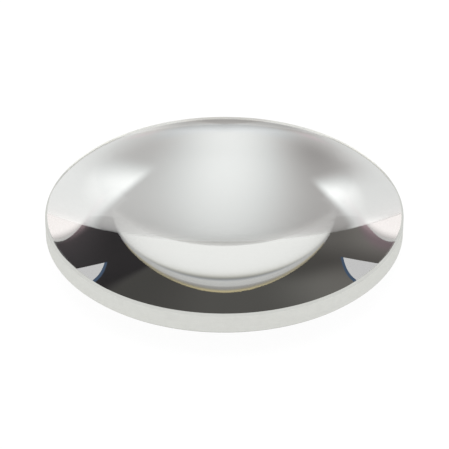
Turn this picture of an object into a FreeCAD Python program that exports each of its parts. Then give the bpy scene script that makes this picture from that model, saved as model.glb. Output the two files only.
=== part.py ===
# Biconvex lens of optical glass: two polished spherical faces, a ground
# cylindrical edge and a small bevel at each rim, all in one piece.
# Millimetres, +Z up along the optical axis, origin on that axis halfway
# up the ground edge.
import FreeCAD, Part
import math
import os
import Sketcher

# Driving dimensions, in millimetres and degrees.
SIZES = {
    "diameter": 50.8,       # across the ground edge
    "edge_length": 2.55,    # ground cylinder between the two bevels
    "upper_radius": 75.0,   # curvature of the upper polished face
    "lower_radius": 75.0,   # curvature of the lower polished face
    "bevel_width": 0.3,     # how far each bevel reaches in from the edge
    "bevel_angle": 45.0,    # slope of each bevel against the ground edge
}
SHEET_NAME = "Sizes"
QUARTER_TURN = 90.0

# Points of a sketch line or arc, numbered from 1 as constraints count them.
START, END, CENTRE = range(1, 4)

# A sketch's own two axes, as constraints number them, and its origin.
HORIZONTAL_AXIS_ID, VERTICAL_AXIS_ID = -1, -2
ORIGIN = (HORIZONTAL_AXIS_ID, START)


# Sheet of sizes: a label, a value and an alias on each row.
def add_sheet(doc):
    sheet = doc.addObject("Spreadsheet::Sheet", SHEET_NAME)
    for row, (alias, value) in enumerate(SIZES.items(), start=1):
        sheet.set(f"A{row}", alias.replace("_", " "))
        sheet.set(f"B{row}", str(value))
        sheet.setAlias(f"B{row}", alias)
    doc.recompute()
    return sheet


# Half section of the glass, to the right of the optical axis: the upper
# face, the upper bevel, the ground edge, the lower bevel, the lower face
# and the axis itself, which closes it.
def draw_section(sketch, sheet):
    edge_x = sheet.diameter / 2
    edge_z = sheet.edge_length / 2
    rim_x = edge_x - sheet.bevel_width
    rim_z = edge_z + sheet.bevel_width / math.tan(math.radians(sheet.bevel_angle))
    upper_tilt = math.acos(rim_x / sheet.upper_radius)
    lower_tilt = math.acos(rim_x / sheet.lower_radius)
    upper_centre_z = rim_z - sheet.upper_radius * math.sin(upper_tilt)
    lower_centre_z = -rim_z + sheet.lower_radius * math.sin(lower_tilt)
    upper_pole_z = upper_centre_z + sheet.upper_radius
    lower_pole_z = lower_centre_z - sheet.lower_radius

    def arc(centre_z, radius, first_angle, last_angle):
        circle = Part.Circle(FreeCAD.Vector(0, centre_z, 0), FreeCAD.Vector(0, 0, 1), radius)
        return sketch.addGeometry(Part.ArcOfCircle(circle, first_angle, last_angle), False)

    def line(x1, z1, x2, z2):
        ends = Part.LineSegment(FreeCAD.Vector(x1, z1, 0), FreeCAD.Vector(x2, z2, 0))
        return sketch.addGeometry(ends, False)

    return {
        "upper_face": arc(upper_centre_z, sheet.upper_radius, upper_tilt, math.pi / 2),
        "upper_bevel": line(rim_x, rim_z, edge_x, edge_z),
        "edge": line(edge_x, edge_z, edge_x, -edge_z),
        "lower_bevel": line(edge_x, -edge_z, rim_x, -rim_z),
        "lower_face": arc(lower_centre_z, sheet.lower_radius, -math.pi / 2, -lower_tilt),
        "axis": line(0, lower_pole_z, 0, upper_pole_z),
    }


# A constraint whose value is read from the sheet.
def bind(sketch, name, formula, *constraint):
    index = sketch.addConstraint(Sketcher.Constraint(*constraint))
    sketch.renameConstraint(index, name)
    sketch.setExpression(f"Constraints.{name}", formula)


# Corners of the section, its centres on the optical axis, and its sizes.
def constrain_section(sketch, sheet, section):
    upper_face = section["upper_face"]
    upper_bevel = section["upper_bevel"]
    edge = section["edge"]
    lower_bevel = section["lower_bevel"]
    lower_face = section["lower_face"]
    axis = section["axis"]

    corners = (
        (upper_face, START, upper_bevel, START),
        (upper_bevel, END, edge, START),
        (edge, END, lower_bevel, START),
        (lower_bevel, END, lower_face, END),
        (lower_face, START, axis, START),
        (axis, END, upper_face, END),
    )
    for corner in corners:
        sketch.addConstraint(Sketcher.Constraint("Coincident", *corner))

    on_axis = ((upper_face, CENTRE), (lower_face, CENTRE), (axis, START), (axis, END))
    for point in on_axis:
        sketch.addConstraint(Sketcher.Constraint("PointOnObject", *point, VERTICAL_AXIS_ID))

    ends_of_edge = (edge, START, edge, END)
    sketch.addConstraint(Sketcher.Constraint("Symmetric", *ends_of_edge, HORIZONTAL_AXIS_ID))

    bind(sketch, "EdgeRadius", f"{SHEET_NAME}.diameter / 2",
         "DistanceX", *ORIGIN, edge, START, sheet.diameter / 2)
    bind(sketch, "EdgeLength", f"{SHEET_NAME}.edge_length",
         "DistanceY", edge, END, edge, START, sheet.edge_length)
    bind(sketch, "UpperRadius", f"{SHEET_NAME}.upper_radius",
         "Radius", upper_face, sheet.upper_radius)
    bind(sketch, "LowerRadius", f"{SHEET_NAME}.lower_radius",
         "Radius", lower_face, sheet.lower_radius)
    bind(sketch, "UpperBevelWidth", f"{SHEET_NAME}.bevel_width",
         "DistanceX", upper_bevel, START, upper_bevel, END, sheet.bevel_width)
    bind(sketch, "LowerBevelWidth", f"{SHEET_NAME}.bevel_width",
         "DistanceX", lower_bevel, END, lower_bevel, START, sheet.bevel_width)

    # The upper bevel falls outwards and the lower one falls inwards.
    upper_slope = math.radians(sheet.bevel_angle - QUARTER_TURN)
    lower_slope = math.radians(-sheet.bevel_angle - QUARTER_TURN)
    bind(sketch, "UpperBevelSlope", f"({SHEET_NAME}.bevel_angle - {QUARTER_TURN}) * 1 deg",
         "Angle", upper_bevel, upper_slope)
    bind(sketch, "LowerBevelSlope", f"(-{SHEET_NAME}.bevel_angle - {QUARTER_TURN}) * 1 deg",
         "Angle", lower_bevel, lower_slope)


# One of a body's own origin planes or axes, by its role.
def origin_feature(body, role):
    return next(item for item in body.Origin.OriginFeatures if item.Role == role)


# The lens: the half section turned a full circle about the optical axis.
def add_lens(doc, sheet):
    body = doc.addObject("PartDesign::Body", "Lens")
    body.Label = "lens"

    sketch = body.newObject("Sketcher::SketchObject", "LensSection")
    sketch.AttachmentSupport = [(origin_feature(body, "XZ_Plane"), "")]
    sketch.MapMode = "FlatFace"
    section = draw_section(sketch, sheet)
    constrain_section(sketch, sheet, section)
    doc.recompute()

    turned = body.newObject("PartDesign::Revolution", "TurnedGlass")
    turned.Profile = (sketch, [""])
    turned.ReferenceAxis = (sketch, ["V_Axis"])
    turned.Angle = 360
    body.Tip = turned
    body.Placement = FreeCAD.Placement()
    return body


# Stop before anything is written if an object failed or a shape is bad.
def check_document(doc, bodies):
    for item in doc.Objects:
        if "Invalid" in item.State or "Error" in item.State:
            raise RuntimeError(f"{item.Label} failed: {item.State}")
    for body in bodies:
        if body.Shape.isNull() or not body.Shape.isValid():
            raise RuntimeError(f"{body.Label} has no valid shape")


def main():
    doc = FreeCAD.newDocument("BiconvexLens")
    sheet = add_sheet(doc)
    bodies = [add_lens(doc, sheet)]
    doc.recompute()
    check_document(doc, bodies)

    os.makedirs("parts", exist_ok=True)
    for body in bodies:
        body.Shape.exportStep(f"parts/{body.Label}.step")
        box = body.Shape.BoundBox
        print(f"{body.Label}: {box.XLength:.3f} x {box.YLength:.3f} x {box.ZLength:.3f} mm")


main()
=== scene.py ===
# Biconvex lens of clear crown glass: polished faces, finely ground edge and bevels.
# Metres, optical axis along +Z, centre of the lens at the origin.
import bpy
import math
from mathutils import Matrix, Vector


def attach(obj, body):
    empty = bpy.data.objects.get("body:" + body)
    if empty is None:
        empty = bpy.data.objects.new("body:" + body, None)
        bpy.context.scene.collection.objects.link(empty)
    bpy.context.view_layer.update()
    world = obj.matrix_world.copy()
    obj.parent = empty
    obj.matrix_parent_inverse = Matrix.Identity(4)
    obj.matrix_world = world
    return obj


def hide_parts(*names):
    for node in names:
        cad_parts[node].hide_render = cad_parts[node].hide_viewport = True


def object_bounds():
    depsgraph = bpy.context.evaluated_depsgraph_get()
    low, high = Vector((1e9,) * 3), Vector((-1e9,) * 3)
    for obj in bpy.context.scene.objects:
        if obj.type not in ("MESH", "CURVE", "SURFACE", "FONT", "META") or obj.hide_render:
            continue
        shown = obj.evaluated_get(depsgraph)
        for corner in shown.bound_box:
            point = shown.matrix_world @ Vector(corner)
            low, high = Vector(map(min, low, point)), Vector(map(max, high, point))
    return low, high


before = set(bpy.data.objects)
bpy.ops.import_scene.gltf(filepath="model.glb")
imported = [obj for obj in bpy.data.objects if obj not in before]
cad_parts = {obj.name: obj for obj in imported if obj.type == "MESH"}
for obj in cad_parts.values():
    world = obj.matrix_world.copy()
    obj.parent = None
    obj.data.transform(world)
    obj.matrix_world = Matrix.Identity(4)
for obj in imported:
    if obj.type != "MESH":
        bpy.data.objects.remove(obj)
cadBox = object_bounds()
print("frame loaded")

# sizes of the glass, the same as in the CAD model
glass = {
    "edgeRadius": 0.0254,
    "halfEdge": 0.001275,  # half the length of the ground cylinder
    "bevel": 0.0003,       # both legs of the 45 degree bevel
    "faceRadius": 0.075,   # curvature of both polished faces
    "faceRings": 96,       # rings from the pole to the rim
    "turnSteps": 384,
    "sharpAngle": 12.0,    # above this an edge between faces stays crisp
}


# object mode, nothing selected
def letGo():
    if bpy.context.mode != "OBJECT":
        bpy.ops.object.mode_set(mode="OBJECT")
    bpy.ops.object.select_all(action="DESELECT")


# in edit mode: select the vertices that pass the test, nothing else
def pickPoints(piece, test):
    bpy.ops.mesh.select_all(action="DESELECT")
    bpy.ops.object.mode_set(mode="OBJECT")
    for point in piece.data.vertices:
        point.select = test(point.co)
    bpy.ops.object.mode_set(mode="EDIT")


# a point at the pole is swung about the centre of curvature to draw the upper face, its end
# is drawn out over the bevel and down the edge, and the line is spun round the optical axis
def turnGlass(size):
    rimX = size["edgeRadius"] - size["bevel"]
    rimZ = size["halfEdge"] + size["bevel"]
    centreZ = rimZ - math.sqrt(size["faceRadius"] ** 2 - rimX ** 2)
    rimTilt = math.asin(rimX / size["faceRadius"])
    near = size["bevel"] * 0.01  # points closer than this are one

    letGo()
    bpy.ops.mesh.primitive_plane_add(
        size=size["bevel"], location=(0, 0, centreZ + size["faceRadius"]))
    piece = bpy.context.object
    piece.name = piece.data.name = "lensGlass"
    bpy.ops.object.transform_apply(location=True, rotation=True, scale=True)
    bpy.ops.object.mode_set(mode="EDIT")
    bpy.ops.mesh.select_mode(type="VERT")
    bpy.ops.mesh.select_all(action="SELECT")
    bpy.ops.mesh.merge(type="CENTER")
    bpy.ops.mesh.spin(
        steps=size["faceRings"], angle=rimTilt, center=(0, 0, centreZ), axis=(0, -1, 0))

    # over the bevel, then down to the middle of the edge
    pickPoints(piece, lambda co: co.x > rimX - near)
    bpy.ops.mesh.extrude_region_move(
        TRANSFORM_OT_translate={"value": (size["bevel"], 0, -size["bevel"])})
    bpy.ops.mesh.extrude_region_move(
        TRANSFORM_OT_translate={"value": (0, 0, -size["halfEdge"])})
    bpy.ops.mesh.select_all(action="SELECT")
    bpy.ops.mesh.spin(
        steps=size["turnSteps"], angle=2 * math.pi, center=(0, 0, 0), axis=(0, 0, 1))
    bpy.ops.mesh.select_all(action="SELECT")
    bpy.ops.mesh.remove_doubles(threshold=near)
    bpy.ops.mesh.normals_make_consistent(inside=False)
    bpy.ops.object.mode_set(mode="OBJECT")

    # the lower half mirrors the upper one
    mirror = piece.modifiers.new("lowerHalf", "MIRROR")
    mirror.use_axis = (False, False, True)
    mirror.use_clip = True
    mirror.merge_threshold = near
    bpy.ops.object.modifier_apply(modifier=mirror.name)
    bpy.ops.object.mode_set(mode="EDIT")
    bpy.ops.mesh.select_all(action="SELECT")
    bpy.ops.mesh.normals_make_consistent(inside=False)
    bpy.ops.object.mode_set(mode="OBJECT")
    bpy.ops.object.shade_smooth_by_angle(angle=math.radians(size["sharpAngle"]))
    return piece


lensGlass = turnGlass(glass)
print("glass turned:", len(lensGlass.data.polygons), "faces")


# helpers for node trees: a socket is linked, anything else is set as the socket's value
def feed(tree, socket, given):
    if isinstance(given, bpy.types.NodeSocket):
        tree.links.new(given, socket)
    else:
        socket.default_value = given


def mathNode(tree, kind, *given):
    node = tree.nodes.new("ShaderNodeMath")
    node.operation = kind
    for socket, value in zip(node.inputs, given):
        feed(tree, socket, value)
    return node.outputs[0]


def vectorNode(tree, kind, *given):
    node = tree.nodes.new("ShaderNodeVectorMath")
    node.operation = kind
    for socket, value in zip(node.inputs, given):
        feed(tree, socket, value)
    return node.outputs["Value" if kind in ("DOT_PRODUCT", "LENGTH") else "Vector"]


# eases from one level to another while the value goes from low to high
def softStep(tree, value, low, high, first=0.0, last=1.0):
    node = tree.nodes.new("ShaderNodeMapRange")
    node.interpolation_type = "SMOOTHSTEP"
    for name, given in (("Value", value), ("From Min", low), ("From Max", high),
                        ("To Min", first), ("To Max", last)):
        feed(tree, node.inputs[name], given)
    return node.outputs["Result"]


# the same from 0 to 1, also for a value that falls
def between(tree, value, first, last):
    if first > last:
        return softStep(tree, value, last, first, 1.0, 0.0)
    return softStep(tree, value, first, last)


# mask 0 gives the first, mask 1 the second
def blend(tree, mask, first, second):
    node = tree.nodes.new("ShaderNodeMix")
    for socket, given in ((0, mask), (2, first), (3, second)):
        feed(tree, node.inputs[socket], given)
    return node.outputs[0]


def blendColour(tree, mask, first, second):
    node = tree.nodes.new("ShaderNodeMix")
    node.data_type = "RGBA"
    for socket, given in ((0, mask), (6, first), (7, second)):
        given = (*given, 1) if isinstance(given, tuple) else given
        feed(tree, node.inputs[socket], given)
    return node.outputs[2]


# 1 at the centre, fading like a bell to nothing
def softSpot(tree, place, centre, reach):
    offset = vectorNode(tree, "SUBTRACT", place, (*centre, 0))
    scaled = vectorNode(tree, "DIVIDE", offset, (*reach, 1))
    square = vectorNode(tree, "DOT_PRODUCT", scaled, scaled)
    return mathNode(tree, "EXPONENT", mathNode(tree, "MULTIPLY", square, -1.0))


endless = 1e6  # reach of a spot that is drawn out to a stripe


def joinVector(tree, first, second):
    node = tree.nodes.new("ShaderNodeCombineXYZ")
    tree.links.new(first, node.inputs[0])
    tree.links.new(second, node.inputs[1])
    return node.outputs[0]


def rayDepth(tree):
    return tree.nodes.new("ShaderNodeLightPath").outputs["Ray Depth"]


def newMaterial(name):
    material = bpy.data.materials.new(name)
    material.use_nodes = True
    return material, material.node_tree


# fine grinding: cloudy mottling, grain and faint streaks that run round the edge
grainLook = {
    "layers": (("Mottle", (1, 1, 1), 1100, 4, 0.15),  # stretch, scale, detail, share of height
               ("Grain", (1, 1, 1), 9000, 2, 0.5),
               ("Streaks", (1, 1, 18), 320, 2, 0.35)),
    "heights": (0.3, 0.7),                            # between these the roughness goes
    "roughness": (0.52, 0.68),                        # from the first to the second
}


def grainGroup(look):
    group = bpy.data.node_groups.new("groundGrain", "ShaderNodeTree")
    for name, kind, value in (("Colour", "NodeSocketColor", (0.65, 0.65, 0.62, 1)),
                              ("Mottle", "NodeSocketFloat", 0.06),
                              ("Grain", "NodeSocketFloat", 0.06),
                              ("Streaks", "NodeSocketFloat", 0.05)):
        socket = group.interface.new_socket(name, in_out="INPUT", socket_type=kind)
        socket.default_value = value
    for name, kind in (("Colour", "NodeSocketColor"), ("Roughness", "NodeSocketFloat"),
                       ("Height", "NodeSocketFloat")):
        group.interface.new_socket(name, in_out="OUTPUT", socket_type=kind)
    given = group.nodes.new("NodeGroupInput")
    result = group.nodes.new("NodeGroupOutput")
    place = group.nodes.new("ShaderNodeTexCoord").outputs["Object"]

    shade = 1.0
    height = 0.0
    for name, stretch, scale, detail, share in look["layers"]:
        noise = group.nodes.new("ShaderNodeTexNoise")
        noise.inputs["Scale"].default_value = scale
        noise.inputs["Detail"].default_value = detail
        feed(group, noise.inputs["Vector"], vectorNode(group, "MULTIPLY", place, stretch))
        centred = mathNode(group, "SUBTRACT", noise.outputs["Fac"], 0.5)
        swing = mathNode(group, "MULTIPLY", centred, given.outputs[name])
        shade = mathNode(group, "ADD", swing, shade)
        height = mathNode(group, "MULTIPLY_ADD", noise.outputs["Fac"], share, height)
    tint = vectorNode(group, "SCALE", given.outputs["Colour"])
    group.links.new(shade, tint.node.inputs["Scale"])
    group.links.new(tint, result.inputs["Colour"])
    group.links.new(softStep(group, height, *look["heights"], *look["roughness"]),
                    result.inputs["Roughness"])
    group.links.new(height, result.inputs["Height"])
    return group


groundGrain = grainGroup(grainLook)

grind = {
    "edgeColour": (0.652, 0.658, 0.626),   # the cylinder, a milky grey
    "bevelColour": (0.520, 0.526, 0.500),  # the bevels, a darker grey than the cylinder
    "mottle": 0.10,
    "grain": 0.09,
    "streaks": 0.08,
    "bumpDepth": 0.000012,
    "specular": 0.3,
    "insideGlowColour": (0.42, 0.42, 0.41),    # painted glow for the daylight in the ground skin, seen through the glass
    "insideGlowSlant": (0.82, 0.825, 0.80),    # the same painted glow seen at a slant
    "glowSlantRange": (0.66, 0.82),
}


def groundGlass(name, colour, look):
    material, tree = newMaterial(name)
    shader = tree.nodes["Principled BSDF"]
    grain = tree.nodes.new("ShaderNodeGroup")
    grain.node_tree = groundGrain
    for socket, value in (("Colour", (*colour, 1)), ("Mottle", look["mottle"]),
                          ("Grain", look["grain"]), ("Streaks", look["streaks"])):
        grain.inputs[socket].default_value = value
    bump = tree.nodes.new("ShaderNodeBump")
    bump.inputs["Distance"].default_value = look["bumpDepth"]
    tree.links.new(grain.outputs["Height"], bump.inputs["Height"])
    tree.links.new(bump.outputs[0], shader.inputs["Normal"])
    tree.links.new(grain.outputs["Colour"], shader.inputs["Base Color"])
    tree.links.new(grain.outputs["Roughness"], shader.inputs["Roughness"])
    # painted glow on the inner side of the ground skin, brighter at a slant; none on the outer
    # side
    inside = tree.nodes.new("ShaderNodeNewGeometry").outputs["Backfacing"]
    layer = tree.nodes.new("ShaderNodeLayerWeight").outputs["Facing"]
    glow = blendColour(tree, softStep(tree, layer, *look["glowSlantRange"]),
                       look["insideGlowColour"], look["insideGlowSlant"])
    glow = blendColour(tree, inside, (0.0, 0.0, 0.0), glow)
    tree.links.new(glow, shader.inputs["Emission Color"])
    shader.inputs["Emission Strength"].default_value = 1.0
    shader.inputs["Specular IOR Level"].default_value = look["specular"]
    return material


polish = {
    "clear": (0.992, 0.995, 0.992),  # at the thin rim
    "deep": (0.982, 0.988, 0.982),   # at the thick middle
    "ior": 1.504,
}


def polishedGlass(look):
    material, tree = newMaterial("polishedGlass")
    shader = tree.nodes["Principled BSDF"]
    place = tree.nodes.new("ShaderNodeTexCoord").outputs["Object"]
    flat = vectorNode(tree, "MULTIPLY", place, (1, 1, 0))
    radius = vectorNode(tree, "LENGTH", flat)
    toRim = softStep(tree, radius, 0.0, glass["edgeRadius"])
    tree.links.new(blendColour(tree, toRim, look["deep"], look["clear"]),
                   shader.inputs["Base Color"])
    shader.inputs["Transmission Weight"].default_value = 1.0
    shader.inputs["IOR"].default_value = look["ior"]
    shader.inputs["Roughness"].default_value = 0.0
    return material


lensGlass.data.materials.append(polishedGlass(polish))
lensGlass.data.materials.append(groundGlass("groundEdge", grind["edgeColour"], grind))
lensGlass.data.materials.append(groundGlass("groundBevel", grind["bevelColour"], grind))

# a face's middle lies a little inside the circle through its corners
rimRadius = glass["edgeRadius"] - glass["bevel"]
slack = glass["bevel"] * 0.2
for face in lensGlass.data.polygons:
    reach = math.hypot(face.center.x, face.center.y)
    if reach > glass["edgeRadius"] - slack:
        face.material_index = 1
    elif reach > rimRadius - slack:
        face.material_index = 2

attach(lensGlass, "root")
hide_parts("lens")
print("glass finished")

# painted light and shade on the pale sheet under the lens, as glass and reflections see it;
# lengths in lens radii, the same in front of the lens as behind it
sheet = {
    "size": 12.0,                          # metres
    "colour": (0.88, 0.88, 0.88),          # in plain light
    "cameraWhite": 1.03,
    "cameraShare": 0.93,                   # the rest is lit, and keeps the lens's shadow
    "level": 0.635,
    "band": (0.386, -0.059, 0.446),        # strength, place and reach of the painted bright stripe of light
    "rightShade": (0.519, 0.454, 0.223),   # the same for the painted dim strips of shade beside it
    "leftShade": (0.426, -0.355, 0.259),
    "shadeNear": 0.306,                    # what is left of the strips at the middle
    "shadeFull": 1.1,                      # how far back they have their full strength
    "outer": (0.948, 0.80, 1.233),         # level outside, and the radii it comes in between
    "rimShade": (0.694, 0.846, 1.044),     # strength of the painted dim ring of shade, and where it comes in
    "rimShadeTilt": 0.305,                 # how much narrower it gets to the sides
    "rimShadeLeast": 0.01,                 # and its least width
    "rimShadeEnd": (0.366, 1.026, 1.137),  # what it loses again further out
    "rimShadeLeft": (-0.502, -0.158),      # where it begins and ends from left to right
    "rimShadeRight": (0.582, 0.29),
    "frontShade": (0.187, -0.60, 0.195),   # painted shade: dimmer in front than behind
    # painted pools of light: tip, turns of the crisp and the soft side, edge widths, and levels
    "leftPool": {"tip": (-0.41, 0.444), "crisp": 142.5, "soft": -125.9,
                 "edges": (0.034, 0.139), "levels": (1.37, -1.638, 0.867)},
    "rightPool": {"tip": (0.483, 0.357), "crisp": 32.7, "soft": -48.9,
                  "edges": (0.032, 0.107), "levels": (1.496, -3.409, 0.768)},
    "tintLevels": (0.25, 0.8),             # between these the dim tint gives way
    "dimTint": (1.035, 0.992, 0.972),
    "brightTint": (0.988, 1.004, 0.993),
    # radii, places to the side, and tint of the painted light: just inside the dim ring, and in
    # it
    "arc": ((0.84, 0.92), (0.42, 0.25), (0.975, 1.006, 1.022)),
    "rim": ((0.965, 1.01), (0.55, 0.35), (1.03, 0.995, 0.96)),
    # place, turn, reach and share of a painted pink streak of light
    "rightBlush": ((0.445, 0.876), -35.0, (0.085, 0.022), 1.0),
    "leftBlush": ((-0.425, 0.894), 17.0, (0.085, 0.020), 0.6),
    "blushTint": (1.10, 0.97, 1.0),
}

# painted light and shade on the same sheet, in light that has bounced inside the glass: white,
# with the lens's painted soft shadow in a ring outside it, then grey; after more bounces white
# at the two sides only
bounced = {
    "depth": 3.5,                            # above this ray depth the sheet looks so
    "white": (0.91, 0.95, 1.45),             # level, and the radii where it turns to grey
    "grey": 0.63,
    "ring": (0.47, 1.175, 0.175, 15.0),      # painted shadow ring: strength, radius, width, and reach in degrees
    "plainTint": (1.0, 1.005, 0.98),
    "warmSide": (1.01, 1.00, 0.90),
    "coolSide": (0.95, 1.00, 1.07),
    "sidesDepth": 5.5,                       # above this only the sides are white
    "sides": (0.10, 0.93, 0.52, 0.65),       # level in the middle, gain, and where it comes in
    "sidesDip": (0.30, 0.787, 0.012, 0.52),  # a dip at its border: lean, place, width, strength
    "dipTint": (1.22, 0.91, 0.97),
    "sidesTint": (1.045, 0.995, 0.975),
}


# white for what the camera, a reflection and the glass see, plain light for the rest
def seenRays(tree):
    path = tree.nodes.new("ShaderNodeLightPath")
    both = mathNode(tree, "MAXIMUM", path.outputs["Is Glossy Ray"],
                    path.outputs["Is Transmission Ray"])
    return path.outputs["Is Camera Ray"], both


# a painted pool of light with one crisp and one soft side, which meet at its tip
def paintedLightPool(tree, place, pool, level):
    offset = vectorNode(tree, "SUBTRACT", place, (*pool["tip"], 0))
    masks = []
    for side, width in zip(("crisp", "soft"), pool["edges"]):
        turn = math.radians(pool[side])
        across = vectorNode(tree, "DOT_PRODUCT", offset, (math.cos(turn), math.sin(turn), 0))
        masks.append(softStep(tree, across, -width, width))
    mask = mathNode(tree, "MULTIPLY", *masks)
    top, fall, least = pool["levels"]
    lit = mathNode(tree, "MULTIPLY_ADD", vectorNode(tree, "LENGTH", offset), fall, top)
    return blend(tree, mask, level, mathNode(tree, "MAXIMUM", lit, least))


# a painted streak of tinted light, turned in the plane of the sheet
def paintedPinkStreak(tree, place, look):
    centre, turn, reach, share = look
    offset = vectorNode(tree, "SUBTRACT", place, (*centre, 0))
    along, across = math.cos(math.radians(turn)), math.sin(math.radians(turn))
    turned = joinVector(tree, vectorNode(tree, "DOT_PRODUCT", offset, (along, across, 0)),
                        vectorNode(tree, "DOT_PRODUCT", offset, (-across, along, 0)))
    return mathNode(tree, "MULTIPLY", softSpot(tree, turned, (0, 0), reach), share)


# tint of the painted light seen straight through the glass
def directPaintedTint(tree, look, here, aside, radius, level):
    tint = blendColour(tree, softStep(tree, level, *look["tintLevels"]), look["dimTint"],
                       look["brightTint"])
    for radii, sides, colour in (look["arc"], look["rim"]):
        mask = mathNode(tree, "MULTIPLY", softStep(tree, radius, *radii),
                        between(tree, aside, *sides))
        tint = blendColour(tree, mask, tint, colour)
    for side in ("leftBlush", "rightBlush"):
        tint = blendColour(tree, paintedPinkStreak(tree, here, look[side]), tint, look["blushTint"])
    return tint


# level of the painted light and shade seen straight through the glass; depth counts the way
# to the back and to the front alike, forward only to the front
def directPaintedLevel(tree, look, here, x, aside, depth, forward, radius):
    strength, centre, reach = look["band"]
    stripe = softSpot(tree, here, (centre, 0), (reach, endless))
    level = mathNode(tree, "MULTIPLY_ADD", stripe, strength, look["level"])
    grow = softStep(tree, depth, 0.0, look["shadeFull"], look["shadeNear"], 1.0)
    for side in ("rightShade", "leftShade"):
        strength, centre, reach = look[side]
        strip = softSpot(tree, here, (centre, 0), (reach, endless))
        strip = mathNode(tree, "MULTIPLY", strip, grow)
        level = mathNode(tree, "MULTIPLY_ADD", strip, -strength, level)
    outside, low, high = look["outer"]
    level = blend(tree, softStep(tree, radius, low, high), level, outside)

    # painted shade: the dim ring near the rim, and the front a little dimmer than the back
    strength, low, high = look["rimShade"]
    loss, first, last = look["rimShadeEnd"]
    low = mathNode(tree, "MULTIPLY_ADD", aside, look["rimShadeTilt"], low)
    low = mathNode(tree, "MINIMUM", low, high - look["rimShadeLeast"])
    dim = mathNode(tree, "MULTIPLY", softStep(tree, radius, low, high, 0.0, strength),
                   softStep(tree, radius, first, last, 1.0, 1.0 - loss))
    for side in ("rimShadeLeft", "rimShadeRight"):
        dim = mathNode(tree, "MULTIPLY", dim, between(tree, x, *look[side]))
    level = mathNode(tree, "MULTIPLY", level, mathNode(tree, "SUBTRACT", 1.0, dim))
    strength, low, high = look["frontShade"]
    front = softStep(tree, forward, low, high, 0.0, strength)
    level = mathNode(tree, "SUBTRACT", level, front)

    # the painted pools of light on top
    for side in ("leftPool", "rightPool"):
        level = paintedLightPool(tree, here, look[side], level)
    return level


# tint and level of the painted light and shade seen after two or more bounces inside the glass,
# and where they hold
def bouncedPaintedSheet(tree, look, x, aside, depth, radius):
    white, low, high = look["white"]
    level = softStep(tree, radius, low, high, white, look["grey"])
    # the lens's painted soft shadow in a ring, warm inside and cool outside
    strength, centre, width, reach = look["ring"]
    turn = mathNode(tree, "DEGREES", mathNode(tree, "ARCTAN2", x, depth))
    ring = softSpot(tree, joinVector(tree, turn, radius), (0, centre), (reach, width))
    level = mathNode(tree, "MULTIPLY_ADD", ring, -strength, level)
    cool = softStep(tree, radius, centre - width * 0.5, centre + width)
    fringe = blendColour(tree, cool, look["warmSide"], look["coolSide"])
    tint = blendColour(tree, ring, look["plainTint"], fringe)

    # the two sides, with a dip at the border of each
    least, gain, low, high = look["sides"]
    side = softStep(tree, aside, low, high, least, least + gain)
    lean, centre, width, strength = look["sidesDip"]
    leaned = mathNode(tree, "MULTIPLY_ADD", depth, lean, aside)
    dip = softSpot(tree, leaned, (centre, centre), (width, endless))
    side = mathNode(tree, "MULTIPLY", side,
                    mathNode(tree, "MULTIPLY_ADD", dip, -strength, 1.0))
    sideTint = blendColour(tree, between(tree, leaned, centre + width, centre - width * 0.5),
                           look["sidesTint"], look["dipTint"])
    rays = rayDepth(tree)
    more = mathNode(tree, "GREATER_THAN", rays, look["sidesDepth"])
    tint = blendColour(tree, more, tint, sideTint)
    level = blend(tree, more, level, side)
    return tint, level, mathNode(tree, "GREATER_THAN", rays, look["depth"])


# the painted light and shade of the sheet, straight through the glass or after bounces in it
def paintedSheetLight(tree, look, laterLook):
    place = tree.nodes.new("ShaderNodeTexCoord").outputs["Object"]
    parts = tree.nodes.new("ShaderNodeSeparateXYZ")
    tree.links.new(vectorNode(tree, "DIVIDE", place, (glass["edgeRadius"],) * 3),
                   parts.inputs[0])
    x, y = parts.outputs["X"], parts.outputs["Y"]
    aside = mathNode(tree, "ABSOLUTE", x)
    depth = mathNode(tree, "ABSOLUTE", y)
    forward = mathNode(tree, "MULTIPLY", y, -1.0)
    here = joinVector(tree, x, depth)
    radius = vectorNode(tree, "LENGTH", here)
    level = directPaintedLevel(tree, look, here, x, aside, depth, forward, radius)
    tint = directPaintedTint(tree, look, here, aside, radius, level)
    laterTint, laterLevel, later = bouncedPaintedSheet(tree, laterLook, x, aside, depth, radius)
    return blendColour(tree, later, tint, laterTint), blend(tree, later, level, laterLevel)


def glowNode(tree, colour, strength):
    node = tree.nodes.new("ShaderNodeEmission")
    feed(tree, node.inputs["Color"], (*colour, 1) if isinstance(colour, tuple) else colour)
    feed(tree, node.inputs["Strength"], strength)
    return node.outputs[0]


def mixShaders(tree, mask, first, second):
    node = tree.nodes.new("ShaderNodeMixShader")
    for socket, given in zip(node.inputs, (mask, first, second)):
        feed(tree, socket, given)
    return node.outputs[0]


def laySheet(look, laterLook):
    letGo()
    bpy.ops.mesh.primitive_plane_add(size=look["size"], location=(0, 0, cadBox[0].z))
    floor = bpy.context.object
    floor.name = "floor"
    material, tree = newMaterial("paleFloorPaintedLight")
    shader = tree.nodes["Principled BSDF"]
    shader.inputs["Base Color"].default_value = (*look["colour"], 1)
    shader.inputs["Roughness"].default_value = 1.0
    shader.inputs["Specular IOR Level"].default_value = 0.0
    cameraRay, seen = seenRays(tree)
    white = glowNode(tree, (1.0, 1.0, 1.0), look["cameraWhite"])
    share = mathNode(tree, "MULTIPLY", cameraRay, look["cameraShare"])
    shown = mixShaders(tree, share, shader.outputs[0], white)
    # glass and reflections see the painted light and shade instead
    painted = glowNode(tree, *paintedSheetLight(tree, look, laterLook))
    tree.links.new(mixShaders(tree, seen, shown, painted),
                   tree.nodes["Material Output"].inputs["Surface"])
    material.cycles.emission_sampling = "NONE"
    floor.data.materials.append(material)
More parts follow.
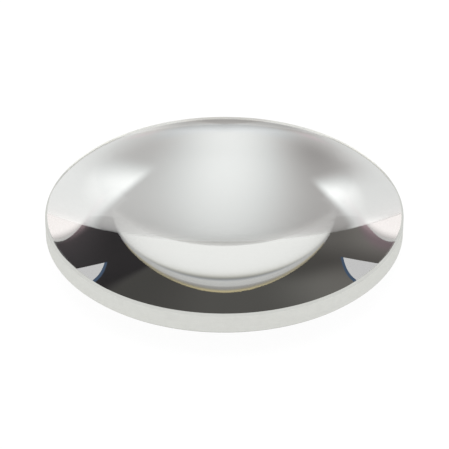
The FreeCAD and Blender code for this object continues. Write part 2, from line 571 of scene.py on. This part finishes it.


# the studio's light painted on a glowing dome round the lens, as glass and reflections see it:
# dim, pale low down in front and behind, with glowing white cards at the sides; turn in degrees
# from +Y, and from -Y in the same way, and rise in degrees from the middle of the lens
studio = {
    "radius": 6.0,                               # metres
    "segments": 96,
    "rings": 48,
    "middle": 0.077,
    "right": (0.055, 6.0, 40.0),                 # level, and the turns it comes in between
    "farRight": (0.036, 0.019, 44.5, 48.5),      # low down, high up, and the turns
    "left": (0.060, -6.0, 3.0),                  # left of the slanting border
    "farLeft": (0.165, 0.108, -54.0, -70.0),
    "farRise": (6.0, 34.0),                      # where the outer parts dim upwards
    "slant": (-54.5, 0.025, 24.0),               # least turn, curve, and the rise at its foot
    "slantGlow": (0.058, 5.0, 8.0, 40.0, 58.0),  # strength, place, reach, and where it fades
    "low": (20.0, 7.0),                          # where the pale part comes in downwards
    "lowDrop": (-1.8, 2.2, 0.64),                # just above the horizon, and what is left
    "lowMiddle": 0.64,                           # its level straight ahead
    "lowSides": (0.85, 8.0, 34.0),               # and from there sideways
    "lowEnds": (54.0, 47.0),                     # where it comes in from the sides
    "lowTint": (1.02, 1.00, 0.96),
    "lowTintFull": 0.35,                         # how pale it is where its tint is full
    "lowWarmTint": (1.10, 1.00, 0.72),
    "lowWarmRise": (0.18, 3.5, 7.5),             # gain with the turn, and where it comes in
    "warmTint": (1.04, 1.00, 0.92),              # on the left
    "warmTurns": (-30.0, -60.0),
    "coolTint": (1.01, 1.00, 0.92),              # in the middle
    "farTint": (1.02, 0.99, 1.05),               # on the far right
    "farTurns": (44.0, 50.0),
    "cornerTint": (1.20, 0.93, 1.00),            # far left and low
    "cornerTurns": (-58.0, -70.0),
    "cornerRise": (16.0, 6.0),
    "cardLevel": 0.60,
    "cardLean": 0.08,                            # degrees that a card's top falls for each degree
    "cardTurn": 50.0,                            # the turn that its top is given at
    "leftCard": (-58.92, -45.0, 30.95),          # its two ends, and its top
    "rightCard": (45.0, 56.43, 31.1),
    "endCard": (85.0, 95.0, 36.0),               # a strip straight to the side
    # painted colour fringes: in light that has bounced twice inside the glass, a warm line where
    # it just gets out, and in light that has bounced more, a blue line along the tops of the
    # cards
    "twice": (4.0, 0.4),                         # ray depth, and its tolerance
    "fringeRise": (4.0, 11.0),
    "fringe": (0.95, (1.18, 1.00, 0.52)),
    "more": 4.5,                                 # above this ray depth
    "cardFringe": (0.085, 1.1, (0.60, 1.00, 1.65)),
}


# the dim upper part: right side, then left of a border that slants upwards
def upperStudio(tree, look, turn, rise):
    high = softStep(tree, rise, *look["farRise"])
    goal, first, last = look["right"]
    level = blend(tree, between(tree, turn, first, last), look["middle"], goal)
    lowGoal, highGoal, first, last = look["farRight"]
    level = blend(tree, between(tree, turn, first, last), level,
                  blend(tree, high, lowGoal, highGoal))
    least, curve, foot = look["slant"]
    up = mathNode(tree, "MAXIMUM", mathNode(tree, "SUBTRACT", rise, foot), 0.0)
    border = mathNode(tree, "MULTIPLY_ADD", mathNode(tree, "MULTIPLY", up, up), curve, least)
    past = mathNode(tree, "SUBTRACT", turn, border)
    strength, middle, reach, first, last = look["slantGlow"]
    spot = mathNode(tree, "DIVIDE", mathNode(tree, "SUBTRACT", past, middle), reach)
    spot = mathNode(tree, "MULTIPLY", mathNode(tree, "MULTIPLY", spot, spot), -1.0)
    glow = mathNode(tree, "MULTIPLY", mathNode(tree, "EXPONENT", spot),
                    softStep(tree, rise, first, last, strength, 0.0))
    level = mathNode(tree, "ADD", level, glow)
    goal, first, last = look["left"]
    level = blend(tree, softStep(tree, past, first, last), goal, level)
    lowGoal, highGoal, first, last = look["farLeft"]
    level = blend(tree, between(tree, turn, first, last), level,
                  blend(tree, high, lowGoal, highGoal))

    tint = blendColour(tree, between(tree, turn, *look["warmTurns"]), look["coolTint"],
                       look["warmTint"])
    tint = blendColour(tree, between(tree, turn, *look["farTurns"]), tint, look["farTint"])
    corner = mathNode(tree, "MULTIPLY", between(tree, turn, *look["cornerTurns"]),
                      between(tree, rise, *look["cornerRise"]))
    return blendColour(tree, corner, tint, look["cornerTint"]), level


# pale near the floor, warmer as it fades, then the painted warm fringe line
def lowStudio(tree, look, aside, rise, rays, tint, level):
    goal, first, last = look["lowSides"]
    pale = softStep(tree, aside, first, last, look["lowMiddle"], goal)
    first, last, left = look["lowDrop"]
    pale = mathNode(tree, "MULTIPLY", pale, softStep(tree, rise, first, last, 1.0, left))
    low = mathNode(tree, "MULTIPLY", between(tree, rise, *look["low"]),
                   between(tree, aside, *look["lowEnds"]))
    level = blend(tree, low, level, pale)
    twice = mathNode(tree, "COMPARE", rays, *look["twice"])
    gain, first, last = look["lowWarmRise"]
    warm = softStep(tree, mathNode(tree, "MULTIPLY_ADD", aside, gain, rise), first, last)
    lowTint = blendColour(tree, mathNode(tree, "MULTIPLY", twice, warm), look["lowTint"],
                          look["lowWarmTint"])
    tint = blendColour(tree, softStep(tree, low, 0.0, look["lowTintFull"]), tint, lowTint)

    goal, colour = look["fringe"]
    line = mathNode(tree, "MULTIPLY", softStep(tree, rise, *look["fringeRise"]), twice)
    return blendColour(tree, line, tint, colour), blend(tree, line, level, goal)


# the glowing cards, each with the painted blue fringe line along its top
def studioCards(tree, look, turn, aside, rise, rays, tint, level):
    leaned = mathNode(tree, "MULTIPLY_ADD", aside, look["cardLean"], rise)
    more = mathNode(tree, "GREATER_THAN", rays, look["more"])
    goal, width, colour = look["cardFringe"]
    for name, value in (("leftCard", turn), ("rightCard", turn), ("endCard", aside)):
        first, last, top = look[name]
        top += look["cardTurn"] * look["cardLean"]
        within = mathNode(tree, "MULTIPLY", mathNode(tree, "GREATER_THAN", value, first),
                          mathNode(tree, "LESS_THAN", value, last))
        edge = mathNode(tree, "MULTIPLY", mathNode(tree, "LESS_THAN", leaned, top + width),
                        mathNode(tree, "MULTIPLY", within, more))
        level = blend(tree, edge, level, goal)
        tint = blendColour(tree, edge, tint, colour)
        card = mathNode(tree, "MULTIPLY", mathNode(tree, "LESS_THAN", leaned, top), within)
        level = blend(tree, card, level, look["cardLevel"])
        tint = blendColour(tree, card, tint, (1.0, 1.0, 1.0))
    return tint, level


def domeGlow(tree, look):
    place = tree.nodes.new("ShaderNodeTexCoord").outputs["Object"]
    parts = tree.nodes.new("ShaderNodeSeparateXYZ")
    tree.links.new(vectorNode(tree, "NORMALIZE", place), parts.inputs[0])
    depth = mathNode(tree, "ABSOLUTE", parts.outputs["Y"])
    turn = mathNode(tree, "DEGREES", mathNode(tree, "ARCTAN2", parts.outputs["X"], depth))
    aside = mathNode(tree, "ABSOLUTE", turn)
    rise = mathNode(tree, "DEGREES", mathNode(tree, "ARCSINE", parts.outputs["Z"]))
    rays = rayDepth(tree)
    tint, level = upperStudio(tree, look, turn, rise)
    tint, level = lowStudio(tree, look, aside, rise, rays, tint, level)
    return studioCards(tree, look, turn, aside, rise, rays, tint, level)


def raiseDome(look):
    letGo()
    bpy.ops.mesh.primitive_uv_sphere_add(
        segments=look["segments"], ring_count=look["rings"], radius=look["radius"],
        location=(0, 0, 0))
    dome = bpy.context.object
    dome.name = "studioDome"
    bpy.ops.object.mode_set(mode="EDIT")
    bpy.ops.mesh.select_all(action="SELECT")
    bpy.ops.mesh.bisect(plane_co=(0, 0, cadBox[0].z), plane_no=(0, 0, 1), clear_inner=True)
    bpy.ops.object.mode_set(mode="OBJECT")
    material, tree = newMaterial("dimStudio")
    tree.nodes.remove(tree.nodes["Principled BSDF"])
    tree.links.new(glowNode(tree, *domeGlow(tree, look)),
                   tree.nodes["Material Output"].inputs["Surface"])
    material.cycles.emission_sampling = "NONE"
    dome.data.materials.append(material)
    dome.visible_camera = dome.visible_diffuse = dome.visible_shadow = False


laySheet(sheet, bounced)
raiseDome(studio)

light = {
    "worldLight": 0.80,
    "lampSize": 0.9,
    "lampHeight": 0.9,
    "lampPower": 5.6,
}


def lightWorld(size):
    world = bpy.data.worlds.new("studio")
    bpy.context.scene.world = world
    world.use_nodes = True
    tree = world.node_tree
    background = tree.nodes["Background"]
    background.inputs["Color"].default_value = (1, 1, 1, 1)
    cameraRay, seen = seenRays(tree)
    shown = mathNode(tree, "MAXIMUM", cameraRay, seen)
    tree.links.new(softStep(tree, shown, 0.0, 1.0, size["worldLight"], 1.0),
                   background.inputs["Strength"])


def hangLamp(size):
    bpy.ops.object.light_add(type="AREA", location=(0, 0, size["lampHeight"]))
    lamp = bpy.context.object
    lamp.data.shape = "SQUARE"
    lamp.data.size = size["lampSize"]
    lamp.data.energy = size["lampPower"]
    lamp.visible_glossy = lamp.visible_transmission = False


lightWorld(light)
hangLamp(light)
print("stage and light set")

# camera at the photograph's angle
view = {
    "elevation": 33.87,
    "distance": 0.3908,
    "focal": 220.45,  # mm on a 36 mm sensor
    "sensor": 36.0,
    "shiftX": 0.0003,
    "shiftY": -0.0118,
    "clip": (0.01, 20),
}


def placeCamera(size):
    tilt = math.radians(size["elevation"])
    camera = bpy.data.cameras.new("camera")
    holder = bpy.data.objects.new("camera", camera)
    bpy.context.scene.collection.objects.link(holder)
    holder.location = (0, -size["distance"] * math.cos(tilt), size["distance"] * math.sin(tilt))
    holder.rotation_euler = (math.pi / 2 - tilt, 0, 0)
    camera.lens = size["focal"]
    camera.sensor_width = size["sensor"]
    camera.shift_x = size["shiftX"]
    camera.shift_y = size["shiftY"]
    camera.clip_start, camera.clip_end = size["clip"]
    bpy.context.scene.camera = holder


placeCamera(view)
bpy.context.scene.view_settings.view_transform = "Standard"

bpy.context.view_layer.update()
